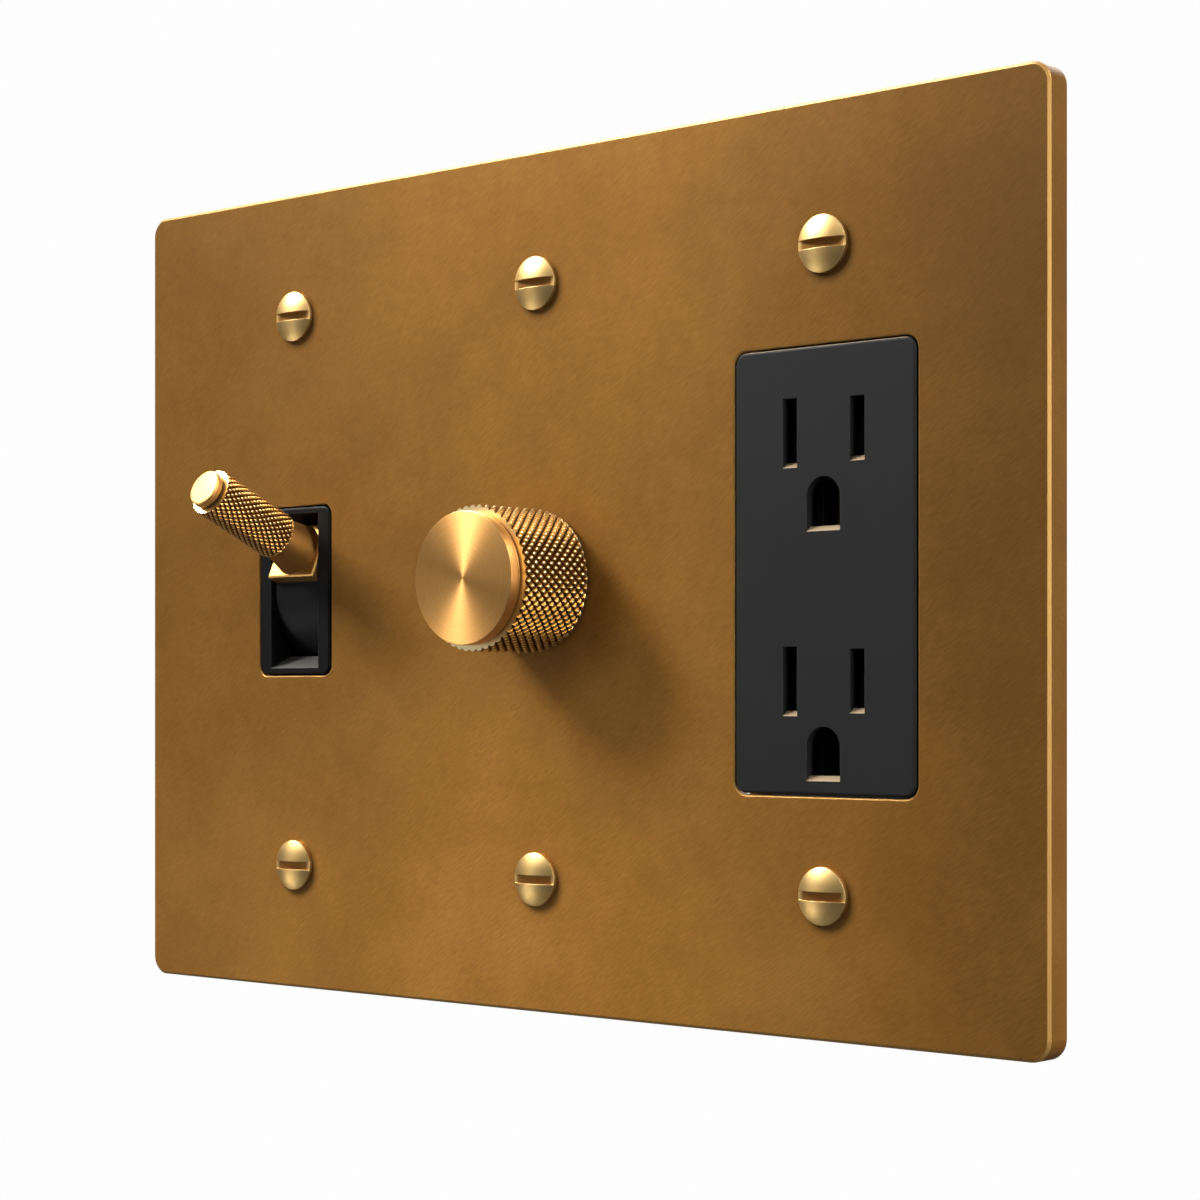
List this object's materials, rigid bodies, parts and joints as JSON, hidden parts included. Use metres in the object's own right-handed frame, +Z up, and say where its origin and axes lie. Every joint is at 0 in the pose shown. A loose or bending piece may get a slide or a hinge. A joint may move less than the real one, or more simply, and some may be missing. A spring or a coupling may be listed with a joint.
{
  "type": "three-gang wall plate with toggle switch, dimmer and receptacle",
  "caption": "Brushed brass three-gang wall plate with a knurled tilting toggle switch, a knurled rotary dimmer knob and a black decorator duplex receptacle, held by slotted screws.",
  "frame": {"origin": "centre of the wall plate's back face, on the wall plane", "axes": "+X right along the plate, +Y into the wall, +Z up"},
  "size_m": [0.194, 0.0564, 0.14],
  "materials": {
    "plate_brass": "brushed, aged",
    "bright_brass": "satin polished",
    "spun_brass": "spun, radial sheen",
    "contact_brass": "plain",
    "zinc_steel": "zinc plated",
    "nickel": "nickel plated",
    "aluminium": "brushed",
    "bezel_black": "satin moulded",
    "face_charcoal": "matte moulded",
    "housing_black": "matte moulded",
    "board_green": "solder mask",
    "copper_wire": "enamelled",
    "capacitor_red": "gloss",
    "ground_green": "green dyed"
  },
  "bodies": {
    "frame": {"wall_plate": "plate_brass", "plate_screws": "bright_brass", "box_screws": "zinc_steel", "toggle_strap": "zinc_steel", "toggle_bezel": "bezel_black", "toggle_housing": "housing_black", "toggle_rivets": "zinc_steel", "lever_pivot_pin": "zinc_steel", "rocker_pin": "zinc_steel", "line_terminal": "contact_brass", "load_terminal": "contact_brass", "toggle_terminal_screws": "contact_brass", "toggle_ground_screw": "ground_green", "dimmer_strap": "aluminium", "dimmer_housing": "housing_black", "dimmer_rivets": "zinc_steel", "dimmer_bushing": "contact_brass", "bushing_nut": "zinc_steel", "potentiometer_case": "zinc_steel", "circuit_board": "board_green", "triac": "housing_black", "choke_coil": "copper_wire", "film_capacitor": "capacitor_red", "dimmer_terminals": "contact_brass", "dimmer_terminal_screws": "contact_brass", "dimmer_ground_screw": "ground_green", "receptacle_strap": "zinc_steel", "receptacle_face": "face_charcoal", "receptacle_body": "housing_black", "hot_contacts": "contact_brass", "neutral_contacts": "contact_brass", "ground_contacts": "contact_brass", "hot_terminal_screws": "contact_brass", "neutral_terminal_screws": "nickel", "receptacle_ground_screw": "ground_green", "receptacle_body_screws": "zinc_steel"},
    "toggle_lever": {"rocker_drum": "bezel_black", "lever_stem": "bright_brass", "lever_grip": "bright_brass", "lever_end_cap": "bright_brass", "snap_spring": "zinc_steel"},
    "contact_arm": {"contact_rocker": "contact_brass"},
    "dimmer_knob": {"knob_sleeve": "bright_brass", "knob_face": "spun_brass", "dimmer_shaft": "zinc_steel", "potentiometer_wiper": "housing_black"}
  },
  "joints": [
    {"name": "toggle_tilt", "type": "hinge", "parent": "frame", "child": "toggle_lever", "pos_m": [-0.058, 0.012, 0], "axis": [1, 0, 0], "range_deg": [0, 49], "deforming": ["snap_spring"]},
    {"name": "contact_tilt", "type": "hinge", "parent": "frame", "child": "contact_arm", "pos_m": [-0.058, 0.024, 0], "axis": [1, 0, 0], "range_deg": [-16, 0]},
    {"name": "dimmer_turn", "type": "hinge", "parent": "frame", "child": "dimmer_knob", "pos_m": [0, 0, 0], "axis": [0, -1, 0], "range_deg": [-150, 150]}
  ],
  "couplings": [
    {"joint": "contact_tilt", "follows": "toggle_tilt", "ratio": -0.32653}
  ]
}
